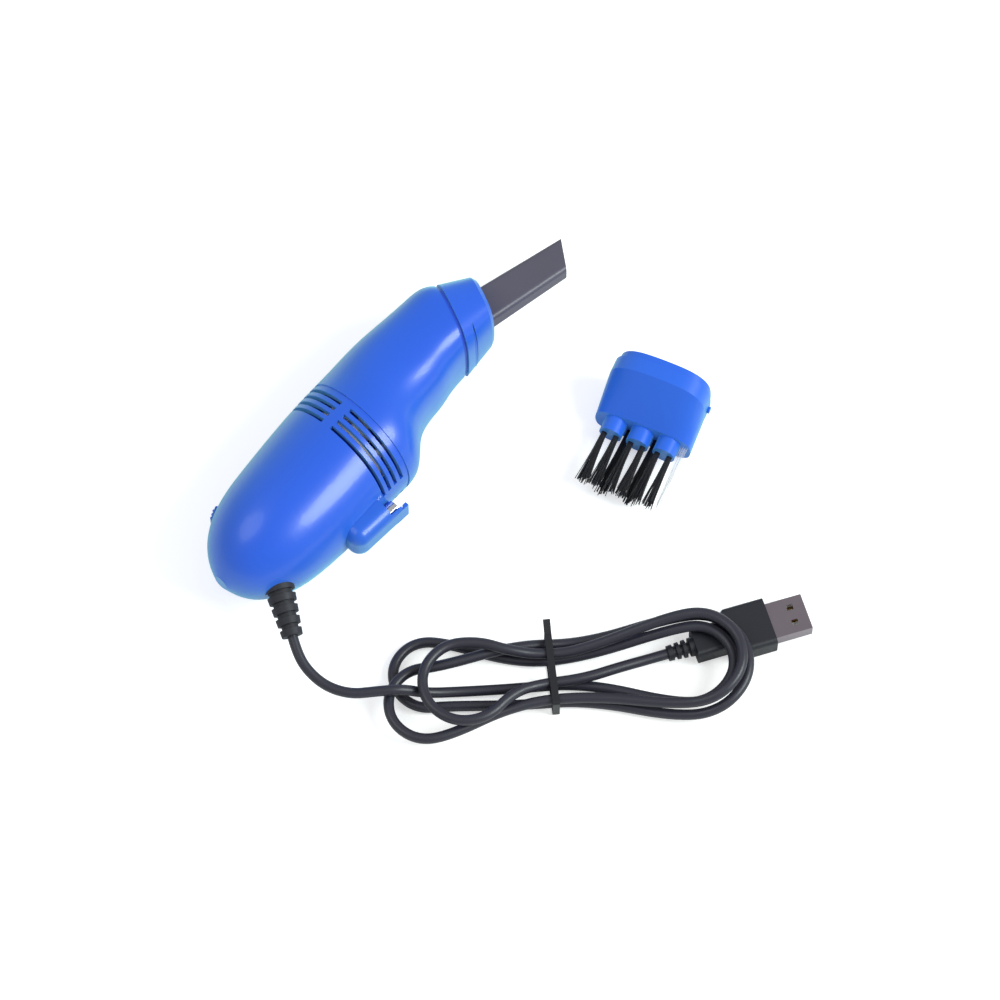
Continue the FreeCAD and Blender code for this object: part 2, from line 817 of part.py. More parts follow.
def fan_blade(i):
    """One bowed blade of the fan."""
    inner, outer = fan_hub_radius - overrun, fan_radius - overrun / 2
    middle = (inner + outer) / 2
    bow, thick = fan_blade_bow, fan_blade_thick
    x = fan_back_x + fan_disc / 2
    points = [V(x, inner, 0), V(x, middle, bow), V(x, outer, 0)]
    far = [V(x, inner, thick), V(x, middle, bow + thick), V(x, outer, thick)]
    edges = [Part.Arc(*points).toShape(), Part.LineSegment(points[2], far[2]).toShape(),
             Part.Arc(far[2], far[1], far[0]).toShape(), Part.LineSegment(far[0], points[0]).toShape()]
    blade = Part.Face(Part.Wire(edges)).extrude(V(fan_width - fan_disc / 2, 0, 0))
    blade.rotate(V(0, 0, 0), V(1, 0, 0), 360 * i / fan_blades)
    blade.translate(V(0, motor_axis_y, 0))
    return blade


def impeller():
    """The fan wheel, pressed on the shaft."""
    wheel = along(fan_radius, fan_back_x, fan_back_x + fan_disc)
    wheel = wheel.fuse(along(fan_hub_radius, fan_back_x, fan_front_x))
    wheel = wheel.fuse([fan_blade(i) for i in range(fan_blades)])
    return wheel.cut(along(shaft_radius + fan_grip, fan_back_x - overrun, fan_front_x + overrun))


def fan_shroud():
    """The ring wall ahead of the fan, with its eye."""
    wall = inner_slab(shroud_x, shroud_thick)
    return wall.cut(along(shroud_eye_radius, shroud_x - overrun, shroud_x + shroud_thick + overrun))


# Board, switch and lamp

def circuit_board():
    """The small board soldered to the motor's blades."""
    board = centred_box(board_thick, board_height, board_width, (board_x + board_thick / 2, motor_axis_y, 0))
    for side in (-1, 1):
        board = board.cut(terminal_blade(side, seat_gap / 4))
    return board


def switch_knob():
    """The ridged knob and its stem, at the nose end of its travel."""
    floor = -recess_depth + running_gap
    front = (knob_travel + knob_length) / 2
    knob = box(knob_length, knob_height, knob_width, (front - knob_length, floor, -knob_width / 2))
    edges = [e for e in knob.Edges if e.BoundBox.YMin > floor + overrun / 4]
    knob = knob.makeFillet(knob_ridge, edges)
    top = floor + knob_height
    pitch = knob_length / (knob_ridges + 1)
    for i in range(knob_ridges):
        ridge = rod(knob_ridge, knob_width - 4 * knob_ridge,
                    (front - knob_length + pitch * (i + 1), top, 2 * knob_ridge - knob_width / 2), (0, 0, 1))
        knob = knob.fuse(ridge)
    middle = front - knob_length / 2
    reach = recess_depth + switch_bracket + knob_stem_reach
    stem = box(knob_stem_length, reach, knob_stem_width,
               (middle - knob_stem_length / 2, -reach, -knob_stem_width / 2))
    return switch_frame(knob.fuse(stem))


def switch_case():
    """The switch's body under the recess, open on top for the stem."""
    top = -recess_depth - switch_bracket
    length, height, width, wall = switch_case_length, switch_case_height, switch_case_width, switch_case_wall
    case = box(length, height, width, (-length / 2, top - height, -width / 2))
    room = box(length - 2 * wall, height - wall + overrun, width - 2 * wall,
               (wall - length / 2, top - height + wall, wall - width / 2))
    case = case.cut(room)
    for i in (-1, 0, 1):
        case = case.cut(switch_leg(i, seat_gap / 8))
    return switch_frame(case)


def switch_leg(i, room):
    """One pin through the switch's floor, in the switch's frame."""
    size = switch_pin + 2 * room
    low = -recess_depth - switch_bracket - switch_case_height - switch_pin_length
    length = switch_pin_length + 2 * switch_case_wall
    return box(size, length, size, (i * switch_pin_pitch - size / 2, low, -size / 2))


def strain_relief(shell_solids):
    """The ribbed boot with its flange inside the casing's wall."""
    root, way = boot_axis()
    parts = [Part.makeCone(boot_root_radius, boot_end_radius, boot_length, root, way)]
    parts.append(Part.makeCylinder(boot_neck_radius, boot_sink + overrun, root - way * boot_sink, way))
    inside = Part.makeCylinder(boot_flange_radius, boot_flange_length, root - way * boot_sink, way)
    boot = parts[0].fuse(parts[1:])
    for i in range(boot_rings):
        place = boot_length * (i + 1) / (boot_rings + 1)
        outer = Part.makeCylinder(2 * boot_root_radius, boot_ring_gap, root + way * place, way)
        radius = boot_root_radius + (boot_end_radius - boot_root_radius) * place / boot_length
        core = Part.makeCylinder(radius - boot_ring_depth, boot_ring_gap, root + way * place, way)
        boot = boot.cut(outer.cut(core))
    form = casing_form(0)
    outside = boot.cut(form)
    inner = inside.common(casing_form(shell_wall))
    neck = parts[1].common(form)
    whole = outside.fuse([neck, inner])
    for shell in shell_solids:
        whole = whole.cut(shell)
    return max(whole.Solids, key=lambda solid: solid.Volume)


def pod_box(length, half_width, top, start, rounding):
    """A long rounded block that hangs from the belly."""
    depth = pod_reach - pod_sink
    block = box(length, top - pod_sink, 2 * half_width, (start, pod_middle_y - top, -half_width))
    low = pod_middle_y - top
    edges = [e for e in block.Edges if e.BoundBox.YMin < low + overrun / 4 or e.BoundBox.XMax < start + overrun / 4]
    edges = [e for e in edges if e.BoundBox.XMin < start + length - overrun / 4]
    return block.makeFillet(rounding, edges) if depth > rounding else block


def lamp_line(radius, start, end):
    """A round bar along the lamp's line."""
    return along(radius, start, end, y=pod_middle_y - lamp_reach)


pod_front_x = pod_back_x + pod_length


def lamp_housing(shell_form):
    """The pod under the belly, hollow, with its round mouth and lip."""
    pod = pod_box(pod_length, pod_half_width, pod_reach, pod_back_x, pod_round)
    lip = box(2 * pod_lip, pod_wall, pod_half_width, (pod_front_x - pod_lip, pod_middle_y - pod_reach, -pod_half_width / 2))
    pod = pod.fuse(lip)
    inner_round = pod_round - pod_wall
    room = pod_box(pod_length - 2 * pod_wall - reflector_length, pod_half_width - pod_wall, pod_reach - pod_wall,
                   pod_back_x + pod_wall, inner_round)
    pod = pod.cut(room)
    seat_x = pod_front_x - reflector_length
    pod = pod.cut(lamp_line(reflector_radius, seat_x, pod_front_x + overrun))
    pod = pod.cut(lamp_line(lamp_rim_radius + seat_gap, pod_front_x - pod_length / 2, pod_front_x))
    low = pod_middle_y - lamp_reach - reflector_radius
    pod = pod.cut(box(reflector_length + overrun, pod_reach, 2 * pod_half_width, (seat_x, low, 0)))
    return max(pod.cut(shell_form).Solids, key=lambda solid: solid.Volume)


def lamp_reflector():
    """The bright cone round the lamp."""
    seat_x = pod_front_x - reflector_length
    radius = reflector_radius - running_gap
    cone = lamp_line(radius, seat_x + running_gap, pod_front_x)
    y = pod_middle_y - lamp_reach
    throat = lamp_radius + sliding_gap
    cone = cone.cut(Part.makeCone(throat, radius - reflector_throat, reflector_length - 2 * reflector_throat,
                                  V(seat_x + 2 * reflector_throat, y, 0), V(1, 0, 0)))
    cone = cone.cut(lamp_line(throat, seat_x - overrun, pod_front_x))
    return cone.cut(lamp_line(radius - reflector_throat, pod_front_x - reflector_throat, pod_front_x + overrun))


def lamp_led():
    """The white lamp with its rim and two legs."""
    seat_x = pod_front_x - reflector_length + running_gap
    y = pod_middle_y - lamp_reach
    straight = lamp_length - lamp_radius
    lamp = lamp_line(lamp_rim_radius, seat_x - lamp_rim_length, seat_x)
    lamp = lamp.fuse(lamp_line(lamp_radius, seat_x - lamp_rim_length, seat_x - lamp_rim_length + straight))
    tip_x = seat_x - lamp_rim_length + straight
    lamp = lamp.fuse(Part.makeSphere(lamp_radius, V(tip_x, y, 0)))
    for side in (-1, 1):
        leg = centred_box(lamp_leg_length, lamp_leg, lamp_leg,
                          (seat_x - lamp_rim_length - lamp_leg_length / 2, y, side * lamp_leg_spread / 2))
        lamp = lamp.fuse(leg)
    return lamp


def lamp_wire_hole():
    """The hole in the belly through which the pod's wires pass."""
    x = pod_back_x + pod_length / 3
    return rod(2 * wire_radius, pod_reach, (x, pod_middle_y - bulb_radius / 2, 0), (0, -1, 0))


# Cord

def turn_angle(a, b, c):
    """The turn at b between two runs."""
    return (b - a).getAngle(c - b)


def cord_path(points):
    """Straight runs joined by tangent arcs, and the least radius of the arcs."""
    edges = []
    radii = []
    last = points[0]
    for i in range(1, len(points) - 1):
        a, b, c = points[i - 1], points[i], points[i + 1]
        angle = turn_angle(a, b, c)
        trim = bend_share * min((b - a).Length, (c - b).Length)
        radius = trim / tan(angle / 2)
        to_a, to_c = (a - b).normalize(), (c - b).normalize()
        start, end = b + to_a * trim, b + to_c * trim
        bisector = (to_a + to_c).normalize()
        middle = b + bisector * (radius / cos(angle / 2) - radius)
        edges.append(Part.LineSegment(last, start).toShape())
        edges.append(Part.Arc(start, middle, end).toShape())
        radii.append(round(radius, 1))
        last = end
    edges.append(Part.LineSegment(last, points[-1]).toShape())
    return Part.Wire(edges), radii


def tube(wire, radius, name):
    """A round tube along a path, checked against its section times its length."""
    edge = wire.Edges[0]
    way = edge.tangentAt(edge.FirstParameter)
    start = edge.valueAt(edge.FirstParameter)
    profile = Part.Wire([Part.Circle(start, way, radius).toShape()])
    solid = wire.makePipeShell([profile], True, False)
    share = solid.Volume / (pi * radius ** 2 * wire.Length)
    print(name, "length", round(wire.Length, 1), "volume share", round(share, 4))
    return solid


def biarc(p1, t1, p2, t2):
    """Two tangent arcs from one point and direction to another."""
    v = p2 - p1
    t = t1 + t2
    same = 1 - t1.dot(t2)
    if same < parallel_share:
        d = v.dot(v) / (4 * v.dot(t2))
    else:
        d = (sqrt(v.dot(t) ** 2 + 2 * same * v.dot(v)) - v.dot(t)) / (2 * same)
    q1, q2 = p1 + t1 * d, p2 - t2 * d
    middle = (q1 + q2) * 0.5
    return [tangent_arc(p1, q1, middle), tangent_arc(middle, q2, p2)]


def tangent_arc(a, q, b):
    """The arc from a to b whose end tangents meet at q."""
    chord = (a + b) * 0.5
    rise = (q - chord).Length
    half = (b - a).Length / 2
    if rise < half * straight_share:
        return Part.LineSegment(a, b).toShape()
    sag = half * tan(atan2(rise, half) / 2)
    return Part.Arc(a, chord + (q - chord) * (sag / rise), b).toShape()


# The tied length of cord

layer_heights = (cord_lift + cord_radius, cord_lift + cord_radius + layer_step,
                 cord_lift + cord_radius + 2 * layer_step)


def to_hank(x, y, z):
    """From the hank's own line to the shared frame."""
    a = radians(hank_heading)
    return V(lay_x + hank_x + x * cos(a) - y * sin(a), lay_y + hank_y + x * sin(a) + y * cos(a), z)


def hank_way(x, y):
    """A direction on the hank's own line, in the shared frame."""
    return to_hank(x, y, 0) - to_hank(0, 0, 0)


def hank_station(k):
    """Place and direction of one of the eight stations of every loop."""
    climb_at = int(loops_each_way * stations_each_loop)
    inward = loops_each_way - k / stations_each_loop if k <= climb_at else (k - climb_at - 1) / stations_each_loop
    z = layer_heights[0] if k <= climb_at else layer_heights[1]
    near = hank_near_length - loop_step * inward
    far = hank_far_length - loop_step * inward
    width = hank_half_width - loop_step * inward
    waist = waist_half_width + waist_step * (loops_each_way - inward)
    places = [(0, -waist, 1, 0), (far - width, -width, 1, 0), (far, 0, 0, 1), (far - width, width, -1, 0),
              (0, waist, -1, 0), (width - near, width, -1, 0), (-near, 0, 0, -1), (width - near, -width, 1, 0)]
    x, y, dx, dy = places[k % stations_each_loop]
    return to_hank(x, y, z + plug_rise * rise_shares[k % stations_each_loop]), hank_way(dx, dy)


def hank_wire():
    """The path of the tied length, from the lead, through the loops, to the tail."""
    forward = hank_way(1, 0)
    top, low = layer_heights[2], layer_heights[0]
    start = to_hank(-hank_near_length - hank_lead_in, hank_lead_side, top)
    stations = [(start, forward), (start + forward * 2 * cord_radius, forward),
                (to_hank(hank_drop_start - hank_near_length, hank_lead_side, top), forward),
                (to_hank(-hank_drop_end, -waist_half_width / 2, low), forward)]
    last_station = int(2 * loops_each_way * stations_each_loop)
    stations += [hank_station(k) for k in range(last_station + 1)]
    end, way = stations[-1]
    stations.append((end + way * hank_lead_out, way))
    edges = []
    for (p1, t1), (p2, t2) in zip(stations, stations[1:]):
        edges.extend(biarc(p1, t1, p2, t2))
    return Part.Wire(edges)


def least_gap(wire, radius, apart):
    """The least room between stretches of a tube that lie further apart along it."""
    count = int(wire.Length)
    points = wire.discretize(count)
    step = wire.Length / (count - 1)
    skip = int(apart / step)
    least = min((points[i] - points[j]).Length for i in range(count) for j in range(i + skip, count))
    return least - 2 * radius


def hank_tie():
    """The wire tie round the waist with its twisted ear."""
    low = layer_heights[0] - cord_radius - tie_gap + tie_thick / 2
    high = layer_heights[1] + cord_radius + tie_gap
    side = waist_half_width + waist_step * loops_each_way + cord_radius + tie_gap
    outer = box(tie_width, 2 * (side + tie_thick), high + tie_thick - low + tie_thick,
                (-tie_width / 2, -side - tie_thick, low - tie_thick))
    inner = box(tie_width + 2 * overrun, 2 * side, high - low, (-tie_width / 2 - overrun, -side, low))
    edges = [e for e in outer.Edges if abs(e.tangentAt(e.FirstParameter).x) > 1 / 2]
    outer = outer.makeFillet(2 * tie_thick, edges)
    band = outer.cut(inner)
    ear = box(tie_ear_width, tie_ear_length, 2 * tie_thick, (-tie_ear_width / 2, side, high - tie_thick))
    ear.rotate(V(0, side, high), V(1, 0, 0), tie_ear_rise)
    tie = band.fuse(ear)
    tie.rotate(V(0, 0, 0), V(0, 0, 1), hank_heading)
    tie.translate(V(lay_x + hank_x, lay_y + hank_y, 0))
    return tie


# Plug

def to_plug(shape):
    """From the plug's own line, +X to its tip, to the shared frame."""
    moved = shape.copy()
    moved.rotate(V(0, 0, 0), V(0, 0, 1), plug_heading)
    moved.translate(V(lay_x + plug_x, lay_y + plug_y, grip_thick / 2))
    return moved


def plug_way():
    """The plug's direction towards its tip."""
    return V(cos(radians(plug_heading)), sin(radians(plug_heading)), 0)


grip_start = relief_length + grip_neck_length
shell_start = grip_start + grip_length


def plug_relief():
    """The ribbed neck where the cord enters the plug."""
    cone = Part.makeCone(relief_end_radius, relief_radius, relief_length, V(0, 0, 0), V(1, 0, 0))
    for i in range(relief_rings):
        x = relief_length * (i + 1) / (relief_rings + 1) - relief_ring_gap / 2
        cone = cone.cut(rod(2 * relief_radius, relief_ring_gap, (x, 0, 0), (1, 0, 0)).cut(
            rod(relief_end_radius - relief_ring_depth, relief_ring_gap, (x, 0, 0), (1, 0, 0))))
    return cone


def plug_grip():
    """The moulded grip with its ribbed neck behind and a pocket for the shell in front."""
    neck = box(grip_neck_length + grip_round, grip_neck_width, grip_neck_thick,
               (relief_length, -grip_neck_width / 2, -grip_neck_thick / 2))
    body = box(grip_length, grip_width, grip_thick, (grip_start, -grip_width / 2, -grip_thick / 2))
    neck = neck.makeFillet(grip_round, [e for e in neck.Edges if e.BoundBox.XLength > overrun])
    body = body.makeFillet(grip_round, [e for e in body.Edges if e.BoundBox.XMin < shell_start - grip_round])
    grip = neck.fuse([body, plug_relief()])
    pocket = box(plug_shell_sink + overrun, plug_shell_width, plug_shell_thick,
                 (shell_start - plug_shell_sink, -plug_shell_width / 2, -plug_shell_thick / 2))
    return to_plug(grip.cut(pocket))


def plug_shell():
    """The folded metal shell with its four windows."""
    start, length = shell_start - plug_shell_sink, plug_shell_length + plug_shell_sink
    wall = plug_shell_wall
    shell = box(length, plug_shell_width, plug_shell_thick, (start, -plug_shell_width / 2, -plug_shell_thick / 2))
    shell = shell.cut(box(length, plug_shell_width - 2 * wall, plug_shell_thick - 2 * wall,
                          (start + wall, wall - plug_shell_width / 2, wall - plug_shell_thick / 2)))
    x = shell_start + plug_shell_length - plug_window_back
    for side in (-1, 1):
        shell = shell.cut(centred_box(plug_window, plug_window, 2 * plug_shell_thick,
                                      (x, side * plug_window_spread, 0)))
    return to_plug(shell)


def tongue_box():
    """Lowest corner and sizes of the tongue in the shell."""
    wall = plug_shell_wall
    start = shell_start - plug_shell_sink + wall
    length = tongue_length + plug_shell_sink - wall
    width = plug_shell_width - 2 * wall
    return (start, -width / 2, wall - plug_shell_thick / 2), length, width


def plug_tongue():
    """The insulating tongue on the shell's floor, with the contacts' grooves."""
    low, length, width = tongue_box()
    tongue = box(length, width, tongue_thick, low)
    for i in range(contact_count):
        tongue = tongue.cut(contact_bar(i))
    return to_plug(tongue)


def contact_bar(i):
    """One contact in its groove, on the plug's own line."""
    low, length, width = tongue_box()
    y = (i - (contact_count - 1) / 2) * contact_pitch - contact_width / 2
    start = low[0] + length - contact_length - overrun
    return box(contact_length, contact_width, contact_thick, (start, y, low[2] + tongue_thick - contact_thick))


# Brush attachment

def to_brush(shape):
    """From the brush's own line, +X to its collar, to the shared frame."""
    moved = shape.copy()
    moved.rotate(V(0, 0, 0), V(0, 0, 1), brush_heading)
    moved.translate(V(lay_x + brush_x, lay_y + brush_y, -brush_sole))
    return moved


def brush_section(x, half_width, thick, power):
    """A section of the brush's head, which stands on the table."""
    points = []
    for i in range(facet_count):
        z, y = power_point(thick / 2, half_width, power, 2 * pi * (i + 0.5) / facet_count)
        points.append(V(x, y, z + thick / 2))
    curve = Part.BSplineCurve()
    curve.interpolate(Points=points, PeriodicFlag=True)
    return Part.Wire([curve.toShape()])


def brush_head():
    """The hollow head with its collar, studs and pip."""
    width, thick = nose_half_width, 2 * nose_half_height
    step = collar_step
    collar = Part.Face(brush_section(-collar_band, width - step, thick - 2 * step, nose_squareness))
    collar = collar.extrude(V(collar_band, 0, 0))
    collar.translate(V(0, 0, step))
    sleeve = Part.Face(brush_section(-brush_shoulder, width, thick, nose_squareness))
    sleeve = sleeve.extrude(V(brush_shoulder - collar_band, 0, 0))
    body = Part.makeLoft([brush_section(-brush_shoulder, width, thick, nose_squareness),
                          brush_section(-brush_length, brush_end_half_width, brush_end_thick, brush_squareness)],
                         True, True)
    studs = [rod(stud_radius, stud_length + overrun, (-brush_length - stud_length, y, stud_z), (1, 0, 0))
             for y in stud_rows()]
    pip = rod(brush_pip_radius, 2 * brush_pip_length, (-2 * collar_band, -width - brush_pip_length, nose_half_height),
              (0, 1, 0))
    head = body.fuse([sleeve, collar] + studs + [pip])
    wall = cap_wall
    socket = Part.Face(brush_section(overrun, width - wall, thick - 2 * wall, nose_squareness))
    socket = socket.extrude(V(-overrun - spigot_length - seat_gap, 0, 0))
    socket.translate(V(0, 0, wall))
    head = head.cut(socket)
    for y, z in tuft_places():
        head = head.cut(tuft_core(y, z))
    size = 4 * nose_half_width
    return to_brush(head.cut(box(size, size, size, (-size / 2, -size / 2, brush_sole - size))))


def stud_rows():
    """Places of the studs across the brush."""
    return [(i - (stud_count - 1) / 2) * stud_pitch for i in range(stud_count)]


stud_z = brush_end_thick - stud_radius - brush_wall / 2
front_tufts = [(y + side * tuft_spread, stud_z, stud_length) for y in stud_rows() for side in (-1, 1)]
back_tufts = [((i - (stud_count - 2) / 2) * stud_pitch, stud_z - tuft_back_drop, 0) for i in range(stud_count - 1)]


def tuft_places():
    """The places of all tufts across the brush."""
    return [(y, z) for y, z, out in front_tufts + back_tufts]


def tuft_core(y, z):
    """The bore that holds one tuft's root."""
    return rod(tuft_radius, 2 * stud_length + tuft_sink, (-brush_length - 2 * stud_length, y, z), (1, 0, 0))


def tuft(y, z, out):
    """One tuft: a straight root, then a bundle that widens to its tip."""
    face = -brush_length - out
    root = rod(tuft_radius, tuft_sink + out, (face, y, z), (1, 0, 0))
    length = tuft_length + stud_length - out
    tip = Part.makeCone(tuft_radius, tuft_flare, length, V(face, y, z), V(-1, 0, 0))
    return to_brush(root.fuse(tip))


def pale_bristle(i):
    """One stray pale bristle beside the last stud."""
    y = stud_rows()[0] - stud_radius - pale_bristle_pitch * (i + 1) / 2
    return to_brush(rod(pale_bristle_radius, pale_bristle_length, (-brush_length - pale_bristle_length, y, stud_z),
                        (1, 0, 0)))


# Build and write every sub-part

outer_form = casing_form(0)
inner_form = casing_form(shell_wall)
right = band_step(casing_half(1, outer_form, inner_form))
left = band_step(casing_half(-1, outer_form, inner_form))
save("shell_right", lay(right))
save("shell_left", lay(left))
save("shell_screws", group([lay(shell_screw(place)) for place in screw_places]))
save("nozzle_cap", lay(nozzle_cap()))
save("crevice_nozzle", lay(crevice_nozzle()))
save("filter_frame", lay(filter_frame()))
save("filter_mesh", lay(filter_mesh()))

save("motor_can", lay(motor_can()))
save("motor_end_cap", lay(motor_end_cap()))
save("motor_bush_front", lay(bush(motor_front_x - bush_length)))
save("motor_bush_rear", lay(bush(end_cap_back_x - end_cap_boss_length)))
save("motor_carbons", group([lay(carbon_brush(side, 0)) for side in (-1, 1)]))
save("motor_terminals", group([lay(terminal_blade(side, 0)) for side in (-1, 1)]))
save("motor_magnets", group([lay(magnet(side)) for side in (-1, 1)]))
save("motor_shaft", lay(motor_shaft()))
save("motor_armature", lay(armature()))
save("motor_commutator", lay(commutator()))
save("motor_plate", lay(motor_plate()))
save("motor_screws", group([lay(motor_screw(side)) for side in (-1, 1)]))
save("impeller", lay(impeller()))
save("fan_shroud", lay(fan_shroud()))
save("circuit_board", lay(circuit_board()))

save("switch_knob", lay(switch_knob()))
save("switch_case", lay(switch_case()))
save("switch_pins", group([lay(switch_frame(switch_leg(i, 0))) for i in (-1, 0, 1)]))
save("lamp_housing", lay(lamp_housing(outer_form)))
save("lamp_reflector", lay(lamp_reflector()))
save("lamp_led", lay(lamp_led()))
save("strain_relief", lay(strain_relief([right, left])))

boot_root, boot_way = boot_axis()
lead_start = boot_root + boot_way * boot_length + V(lay_x, lay_y, bulb_radius)
hank = hank_wire()
hank_start = hank.Edges[0].valueAt(hank.Edges[0].FirstParameter)
hank_end = hank.Edges[-1].valueAt(hank.Edges[-1].LastParameter)
plug_start = V(lay_x + plug_x, lay_y + plug_y, grip_thick / 2)
bench = V(lay_x, lay_y, 0)
lead_route = [lead_start, lead_start + boot_way * lead_straight] + [V(*p) + bench for p in lead_points] + [hank_start]
tail_route = [hank_end] + [V(*p) + bench for p in tail_points] + [plug_start - plug_way() * tail_straight, plug_start]
lead_wire, lead_radii = cord_path(lead_route)
tail_wire, tail_radii = cord_path(tail_route)
print("lead radii", lead_radii, "tail radii", tail_radii)
print("lead start", lead_start, "hank ends", hank_start, hank_end, "plug start", plug_start)
print("hank least gap", round(least_gap(hank, cord_radius, 4 * cord_radius), 2))
save("cord_lead", tube(lead_wire, cord_radius, "lead"))
save("cord_hank", tube(hank, cord_radius, "hank"))
save("cord_tail", tube(tail_wire, cord_radius, "tail"))
save("hank_tie", hank_tie())
save("plug_grip", plug_grip())
save("plug_shell", plug_shell())
save("plug_tongue", plug_tongue())
save("plug_contacts", group([to_plug(contact_bar(i)) for i in range(contact_count)]))

save("brush_head", brush_head())
save("brush_tufts_front", group([tuft(*place) for place in front_tufts]))
save("brush_tufts_back", group([tuft(*place) for place in back_tufts]))
save("brush_bristles_pale", group([pale_bristle(i) for i in range(pale_bristles)]))
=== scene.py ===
# %% [markdown]
# # A desktop mini vacuum cleaner, dressed in Blender
# The engineering model comes in as a fixed frame: every piece of the cleaner already has its true
# shape, size and place. Here each piece gets the finish that the real one has, and the pieces that a
# solid can't show well, the cord and the bristles, are made with Blender's own curves.

# %% Load the frame
import math
import random

import bpy
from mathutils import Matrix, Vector


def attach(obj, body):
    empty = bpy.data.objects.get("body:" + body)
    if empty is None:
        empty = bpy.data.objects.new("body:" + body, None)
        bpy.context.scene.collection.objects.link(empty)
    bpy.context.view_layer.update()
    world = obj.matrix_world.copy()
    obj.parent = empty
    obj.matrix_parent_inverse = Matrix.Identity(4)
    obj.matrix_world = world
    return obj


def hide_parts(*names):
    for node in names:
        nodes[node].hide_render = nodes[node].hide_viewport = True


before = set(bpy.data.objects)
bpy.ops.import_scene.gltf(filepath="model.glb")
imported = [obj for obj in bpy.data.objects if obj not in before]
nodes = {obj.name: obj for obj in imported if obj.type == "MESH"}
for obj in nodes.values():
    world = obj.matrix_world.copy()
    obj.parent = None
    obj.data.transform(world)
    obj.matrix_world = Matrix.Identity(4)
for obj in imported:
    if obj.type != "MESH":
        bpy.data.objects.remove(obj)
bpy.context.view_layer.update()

MM = 0.001
print("pieces in the frame:", len(nodes))

# %% [markdown]
# ## The camera
# A product picture is taken from far away with a long lens, so that near and far parts keep their
# proportions. The camera looks down at the table, and the point that it looks at is the middle of
# the picture.

# %% Place the camera
AZIMUTH = math.radians(-46)
ELEVATION = math.radians(64)
CAMERA_DISTANCE = 1.736
looked_at = Vector((7.9, -11.0, 0)) * MM
back = Vector((math.sin(AZIMUTH) * math.cos(ELEVATION), -math.cos(AZIMUTH) * math.cos(ELEVATION),
               math.sin(ELEVATION)))
lens = bpy.data.cameras.new("camera")
lens.lens = 200
lens.sensor_width = 36
lens.clip_start = 0.05
lens.clip_end = 20
camera = bpy.data.objects.new("camera", lens)
camera.location = looked_at + back * CAMERA_DISTANCE
camera.rotation_euler = (-back).to_track_quat("-Z", "Y").to_euler()
bpy.context.collection.objects.link(camera)
bpy.context.scene.camera = camera
print("camera at", [round(v, 3) for v in camera.location])

# %% [markdown]
# ## Finishes
# Every finish starts from the Principled shader. Moulded plastic is never perfectly even: a fine
# noise moves its roughness and its surface a little, and the eye reads that as a real moulding. The
# blue pieces also get a thin clear coat, which sharpens the highlight, and a sheen, which pales the
# edges that turn away from the camera.

# %% A helper for every finish
SHEEN_TINT = (0.3, 0.95, 0.8, 1)
TONE_SCALE = 60
BUMP_HEIGHT = 0.1 * MM


def finish_of(name, colour, roughness, grain=0.0, grain_size=1200, mottle=0.0, metallic=0.0, coat=0.0,
              subsurface=0.0, sheen=0.0):
    """A Principled finish with fine surface grain and a slight change of tone."""
    finish = bpy.data.materials.new(name)
    finish.use_nodes = True
    tree = finish.node_tree
    shader = tree.nodes["Principled BSDF"]
    shader.inputs["Metallic"].default_value = metallic
    shader.inputs["Coat Weight"].default_value = coat
    shader.inputs["Coat Roughness"].default_value = 0.12
    shader.inputs["Subsurface Weight"].default_value = subsurface
    shader.inputs["Sheen Weight"].default_value = sheen
    shader.inputs["Sheen Roughness"].default_value = 0.45
    shader.inputs["Sheen Tint"].default_value = SHEEN_TINT
    shader.inputs["Subsurface Radius"].default_value = (0.004, 0.004, 0.006)
    place = tree.nodes.new("ShaderNodeTexCoord")
    tone = tree.nodes.new("ShaderNodeTexNoise")
    tone.inputs["Scale"].default_value = TONE_SCALE
    tone.inputs["Detail"].default_value = 3
    tree.links.new(place.outputs["Object"], tone.inputs["Vector"])
    shade = tree.nodes.new("ShaderNodeMapRange")
    shade.inputs["To Min"].default_value = 1 - mottle
    shade.inputs["To Max"].default_value = 1 + mottle
    tree.links.new(tone.outputs["Fac"], shade.inputs["Value"])
    mixed = tree.nodes.new("ShaderNodeVectorMath")
    mixed.operation = "SCALE"
    mixed.inputs[0].default_value = colour
    tree.links.new(shade.outputs["Result"], mixed.inputs["Scale"])
    tree.links.new(mixed.outputs["Vector"], shader.inputs["Base Color"])
    fine = tree.nodes.new("ShaderNodeTexNoise")
    fine.inputs["Scale"].default_value = grain_size
    fine.inputs["Detail"].default_value = 2
    tree.links.new(place.outputs["Object"], fine.inputs["Vector"])
    dull = tree.nodes.new("ShaderNodeMapRange")
    dull.inputs["To Min"].default_value = roughness * 0.85
    dull.inputs["To Max"].default_value = min(1, roughness * 1.15)
    tree.links.new(fine.outputs["Fac"], dull.inputs["Value"])
    tree.links.new(dull.outputs["Result"], shader.inputs["Roughness"])
    if grain:
        bump = tree.nodes.new("ShaderNodeBump")
        bump.inputs["Strength"].default_value = grain
        bump.inputs["Distance"].default_value = BUMP_HEIGHT
        tree.links.new(fine.outputs["Fac"], bump.inputs["Height"])
        tree.links.new(bump.outputs["Normal"], shader.inputs["Normal"])
    return finish


def srgb(red, green, blue):
    """A picture's colour as the linear colour that shaders use."""
    shares = [v / 255 for v in (red, green, blue)]
    return tuple(s / 12.92 if s <= 0.04045 else ((s + 0.055) / 1.055) ** 2.4 for s in shares)


